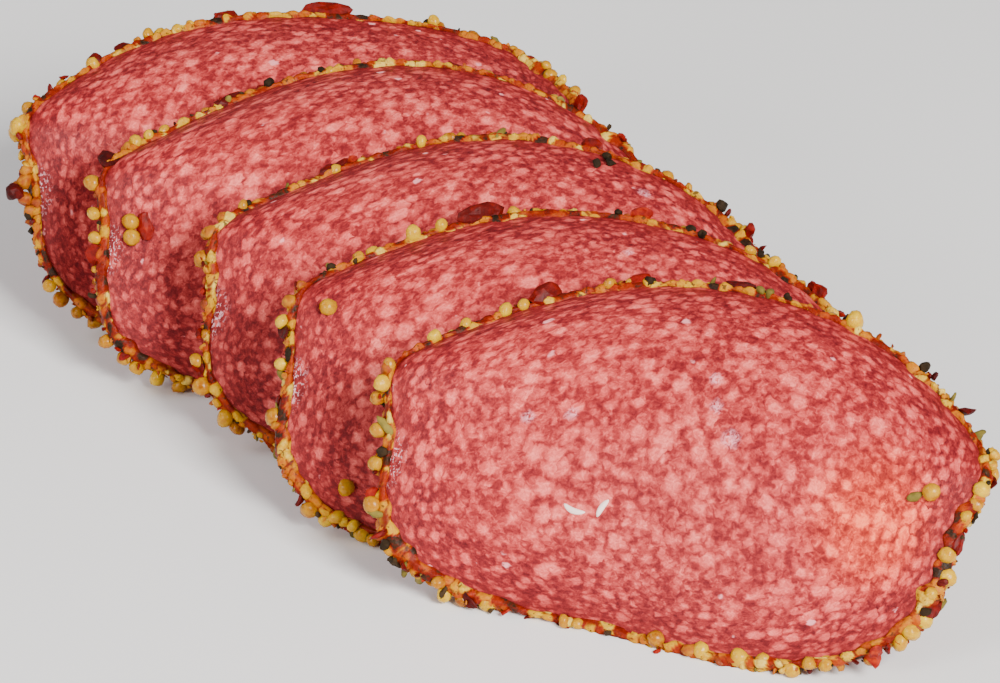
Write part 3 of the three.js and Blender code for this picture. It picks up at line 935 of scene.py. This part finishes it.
def flake_spots():
    spots = []
    for index, cut in enumerate(SLICES):
        random = draws(cut["seed"] + 1000)
        for k in range(FLAKES_PER_RIM):
            around = (k + next(random)) / FLAKES_PER_RIM
            length = FLAKE_REACH * between(FLAKE_LENGTHS, next(random))
            width = FLAKE_REACH * between(FLAKE_WIDTHS, next(random))
            tips = [FLAKE_TIPS * (next(random) - 0.5) for _ in range(2)]
            tone = next(random)
            turns = tips + [FLAKE_TURNS * tone]
            size = (length, width, FLAKE_THICKNESS / 2)
            spots += rim_spot(cut, index, around, CRUST_WIDTH, FLAKE_HEIGHT, turns, size, tone)
        for at, length, width, height, lean, tone in LARGE_FLAKES[cut["name"]]:
            placed = rim_frame(cut, direction(at), CRUST_WIDTH * LARGE_OUT, height)
            spots.append(turned_spot(placed, width, length, LARGE_THICKNESS / 2, 0, lean, tone))
        for u, v, length, width, turn, tone in FACE_FLAKES.get(cut["name"], []):
            placed = face_frame(cut, u, v, FACE_RISE)
            spots.append(turned_spot(placed, length, width, FACE_THICKNESS / 2, turn, 0, tone))
        spots += placed_spots(cut, DARK_LUMPS.get(cut["name"], []))
        random = draws(cut["seed"] * 7)
        for _ in range(SMALL_FLAKES):
            around = next(random)
            height = between(SMALL_HEIGHTS, next(random))
            length = between(SMALL_LENGTHS, next(random) ** 2)
            turns = [2 * math.pi * next(random) for _ in range(3)]
            size = (length, length * SMALL_WIDTH, SMALL_THICKNESS / 2)
            spots += rim_spot(cut, index, around, CRUST_WIDTH, height, turns, size, next(random))
    return spots


CHILLI_TONES = [
    (0.0, (0.03, 0.002, 0.002, 1)), (0.4, (0.09, 0.003, 0.002, 1)),
    (0.75, (0.22, 0.005, 0.002, 1)), (1.0, (0.42, 0.030, 0.003, 1)),
]
chilli = tinted(
    "chilli", CHILLI_TONES, 0.35, 0.12,
    Subsurface_Weight=0.1, Subsurface_Scale=0.0008, Specular_IOR_Level=0.12,
)
flake_nodes = topping_tree("chilli_flakes", chilli)
scatter("chilli_flakes", flake_spots(), flake_nodes,
        Detail=2, Uneven=1.7 * MM, Grain=600.0, Smooth=False)


# Crushed spices
# Cracked yellow mustard, black pepper and olive-green herb stalks, ground to bits of 0.5 to
# 3.6 mm and stuck all over the paste.
BITS_OUT = 1.25  # of the crust's width
BITS_SUNK = 0.1


def loose_spots(per_rim, seed, sizes, shape, spread):
    """Bits at random all around the crust, with a half length between two sizes."""
    spots = []
    for index, cut in enumerate(SLICES):
        random = draws(cut["seed"] * 31 + seed)
        for _ in range(per_rim):
            around = next(random)
            reach = between(sizes, next(random) ** 2)
            height = -THICKNESS / 2 + spread * (next(random) - 0.5)
            turns = [2 * math.pi * next(random) for _ in range(3)]
            size = tuple(reach * share for share in shape)
            grow = crust_width(cut, around) * BITS_OUT - BITS_SUNK
            spots += rim_spot(cut, index, around, grow, height, turns, size, next(random))
    return spots


# lumps of crushed spice that stand out in the photograph, given as the standing seeds are
CHUNKS = {
    "slice_1": [
        (186, 1.4, -0.2, 1.3, 0.45), (191, 1.6, -0.4, 1.3, 0.3), (193, 0.3, 0.2, 0.8, 0.2),
        (195, 1.1, -0.4, 1.1, 0.5), (183, 1.1, -0.1, 0.9, 0.6), (187, 2.2, -0.9, 1.1, 0.4),
        (171, 1.2, -0.9, 1.1, 0.75), (169, 0.9, 0.8, 0.9, 0.95),
    ],
    "slice_2": [(155, 0.9, 0.3, 0.8, 0.6), (152, 0.9, -0.3, 0.8, 0.4)],
    "slice_3": [(158, 0.8, 0.2, 0.9, 0.4), (163, 0.9, -0.2, 1.0, 0.6)],
    "slice_4": [(160, 0.8, 0.3, 0.9, 0.3), (165, 0.8, 0.1, 1.0, 0.6)],
    "slice_5": [
        (163, 0.8, 0.3, 0.9, 0.2), (166, 0.8, 0.1, 1.0, 0.3), (31, 1.2, -0.1, 1.0, 1.0),
        (29, 1.0, 0.7, 0.8, 0.95), (26, 0.9, 0.3, 0.8, 0.9), (282, 0.9, -0.2, 0.9, 0.5),
    ],
}
# bits of cracked pepper that stand out, some of them on the cut face beside the crust
PEPPERCORNS = {
    "slice_1": [(196, 1.4, 0.0, 0.6, 0.2), (70, 0.7, 0.4, 0.6, 0.2)],
    "slice_2": [(127, 0.6, 0.6, 0.9, 0.1), (149, 0.8, 0.5, 0.6, 0.1), (118, 0.5, 0.4, 0.6, 0.1)],
    "slice_3": [
        (79, -0.6, 0.3, 0.6, 0.1), (77, -1.6, 0.3, 0.7, 0.1), (79, -2.6, 0.3, 0.6, 0.1),
        (152, 0.6, 0.5, 0.6, 0.2), (54, 1.2, 0.4, 0.9, 0.2),
    ],
    "slice_4": [
        (81, 0.4, 0.4, 0.6, 0.1), (78, 0.2, 0.4, 0.7, 0.1), (66, 0.9, 0.4, 0.6, 0.1),
        (98, 0.6, 0.5, 0.7, 0.1), (152, 0.7, 0.5, 0.7, 0.2),
    ],
    "slice_5": [
        (113, 0.5, 0.5, 0.8, 0.1), (84, 0.5, 0.5, 0.7, 0.1), (55, 1.3, 0.3, 0.8, 0.2),
        (30, 0.6, 0.6, 0.5, 0.2), (20, 0.8, 0.4, 0.5, 0.2), (335, 1.0, 0.2, 0.7, 0.2),
        (215, 1.2, 0.1, 0.8, 0.2), (188, 0.8, 0.4, 0.8, 0.3),
    ],
}


CRUMB_TONES = [
    (0.0, (0.12, 0.012, 0.002, 1)), (0.3, (0.28, 0.045, 0.002, 1)),
    (0.6, (0.42, 0.14, 0.001, 1)), (0.85, (0.54, 0.28, 0.003, 1)), (1.0, (0.72, 0.50, 0.08, 1)),
]
PEPPER_TONES = [(0.0, (0.010, 0.007, 0.004, 1)), (1.0, (0.065, 0.036, 0.016, 1))]
HERB_TONES = [(0.0, (0.06, 0.045, 0.006, 1)), (1.0, (0.24, 0.18, 0.03, 1))]
crumb = tinted(
    "cracked_mustard", CRUMB_TONES, 0.4, 0.1, Subsurface_Weight=0.1, Subsurface_Scale=0.0008,
    Specular_IOR_Level=0.2,
)
pepper = tinted("pepper", PEPPER_TONES, 0.55, 0.12, Specular_IOR_Level=0.06)
herb = tinted("herb", HERB_TONES, 0.5, 0.1, Specular_IOR_Level=0.15)

crumb_spots = loose_spots(150, 5, (0.25, 0.85), (1.0, 0.75, 0.5), 2.6)
for cut in SLICES:
    crumb_spots += placed_spots(cut, CHUNKS[cut["name"]])
scatter(
    "cracked_mustard", crumb_spots,
    topping_tree("cracked_mustard", crumb),
    Detail=2, Uneven=1.3 * MM, Grain=900.0, Smooth=True,
)

pepper_spots = loose_spots(60, 6, (0.3, 1.1), (1.0, 0.45, 0.4), 2.8)
for cut in SLICES:
    pepper_spots += placed_spots(cut, PEPPERCORNS[cut["name"]])
scatter(
    "pepper_bits", pepper_spots,
    topping_tree("pepper_bits", pepper),
    Detail=2, Uneven=1.2 * MM, Grain=900.0, Smooth=False,
)

# two bits of herb on the front slice's crest and one beside the loose seed on its cut face
CREST_HERBS = [(88, 0.4, 0.5, 0.7, 0.3), (90, 0.4, 0.5, 0.7, 0.5)]
FACE_HERB = (29.6, 3.4, 0.3)
herb_spots = loose_spots(26, 7, (0.5, 1.8), (1.0, 0.35, 0.3), 2.4)
herb_spots += placed_spots(SLICES[4], CREST_HERBS)
herb_on_face = turned_spot(face_frame(SLICES[4], *FACE_HERB), 1.1, 0.5, 0.35, 30, 0, 0.5)
scatter(
    "herb_bits", herb_spots + [herb_on_face],
    topping_tree("herb_bits", herb),
    Detail=2, Uneven=0.9 * MM, Grain=800.0, Smooth=True,
)


# White flecks
# Two slivers of white sinew, about 3 mm long, that lie on the front slice's cut face.
# place on the flat cut face, turn, half length and bow
FLECKS = [(-11.6, -10.3, -14, 1.5, -0.4), (-8.1, -9.8, 68, 1.3, 0.2)]
FLECK_RADIUS = 0.4
FLECK_FLAT = 0.5
FLECK_STEPS = 9
FLECK_SIDES = 8
FLECK_TIP = 0.98  # how near to its pointed end a sliver's last ring is


def fleck_rings(cut, u, v, turn, reach, bow):
    """Rings of points along a bowed sliver with thin ends, half sunk in the cut face."""
    angle = math.radians(turn)
    rings = []
    for step in np.linspace(-FLECK_TIP, FLECK_TIP, FLECK_STEPS):
        thick = FLECK_RADIUS * math.sqrt(1 - step * step)
        around = 2 * math.pi * np.arange(FLECK_SIDES) / FLECK_SIDES
        aside = bow * (1 - step * step) + thick * np.cos(around)
        ring_u = u + reach * step * math.cos(angle) - aside * math.sin(angle)
        ring_v = v + reach * step * math.sin(angle) + aside * math.cos(angle)
        rings.append(skin(cut, ring_u, ring_v, thick * FLECK_FLAT * np.sin(around)))
    return rings


points, faces = [], []
for fleck in FLECKS:
    rings = fleck_rings(SLICES[4], *fleck)
    numbers = [
        [len(points) + k * FLECK_SIDES + side for side in range(FLECK_SIDES)]
        for k in range(FLECK_STEPS)
    ]
    faces += [quad[::-1] for quad in join_bands(numbers)]
    faces += [tuple(numbers[0][::-1]), tuple(numbers[-1])]
    points += [tuple(point) for ring in rings for point in ring]
SINEW_TONES = [(0.0, (0.85, 0.55, 0.48, 1)), (1.0, (1.0, 0.80, 0.72, 1))]
sinew = tinted("sinew", SINEW_TONES, 0.3, 0.05, Specular_IOR_Level=0.3)
mesh_piece("white_flecks", points, faces, {"tone": [0.9] * len(points)}, sinew)


# Studio
# A plain pale floor under soft light, with the key light above the right front of the row.
def add_light(name, place, aim, size, power, tint):
    data = bpy.data.lights.new(name, "AREA")
    data.size = size
    data.energy = power
    data.color = tint
    light = bpy.data.objects.new(name, data)
    light.location = place
    light.rotation_euler = (Vector(aim) - Vector(place)).to_track_quat("-Z", "Y").to_euler()
    bpy.context.scene.collection.objects.link(light)


FLOOR_HALF = 3.0
floor_mesh = bpy.data.meshes.new("floor")
floor_mesh.from_pydata(
    [(-FLOOR_HALF, -FLOOR_HALF, 0), (FLOOR_HALF, -FLOOR_HALF, 0),
     (FLOOR_HALF, FLOOR_HALF, 0), (-FLOOR_HALF, FLOOR_HALF, 0)], [], [(0, 1, 2, 3)]
)
floor = bpy.data.objects.new("floor", floor_mesh)
bpy.context.scene.collection.objects.link(floor)
floor_paint, _, _ = new_material("floor_paint", Base_Color=(0.9, 0.9, 0.9, 1), Roughness=0.8)
floor_mesh.materials.append(floor_paint)

ROOM_LIGHT = 0.33
world = bpy.data.worlds.new("studio")
world.use_nodes = True
backdrop = world.node_tree.nodes["Background"]
backdrop.inputs["Color"].default_value = (1, 1, 1, 1)
backdrop.inputs["Strength"].default_value = ROOM_LIGHT
bpy.context.scene.world = world

AIM = (0.0036, -0.0119, 0.0206)  # in metres, as all lengths of the studio are
add_light("key", (0.44, -0.67, 0.552), AIM, 0.34, 18.6, (1.0, 0.98, 0.95))
add_light("fill", (-0.62, -0.6, 0.4), AIM, 0.3, 4.2, (1.0, 0.93, 0.9))
add_light("glint", (-0.75, 0.1, 0.62), AIM, 0.4, 2.6, (0.98, 0.96, 1.0))

CAMERA_RANGE = 0.65
CAMERA_RISE = math.radians(28)
camera_data = bpy.data.cameras.new("camera")
camera_data.lens = 182.5
camera_data.sensor_width = 36
camera_data.clip_end = 20
camera = bpy.data.objects.new("camera", camera_data)
camera.location = (
    AIM[0],
    AIM[1] - CAMERA_RANGE * math.cos(CAMERA_RISE),
    AIM[2] + CAMERA_RANGE * math.sin(CAMERA_RISE),
)
camera.rotation_euler = (math.pi / 2 - CAMERA_RISE, 0, 0)
bpy.context.scene.collection.objects.link(camera)
bpy.context.scene.camera = camera
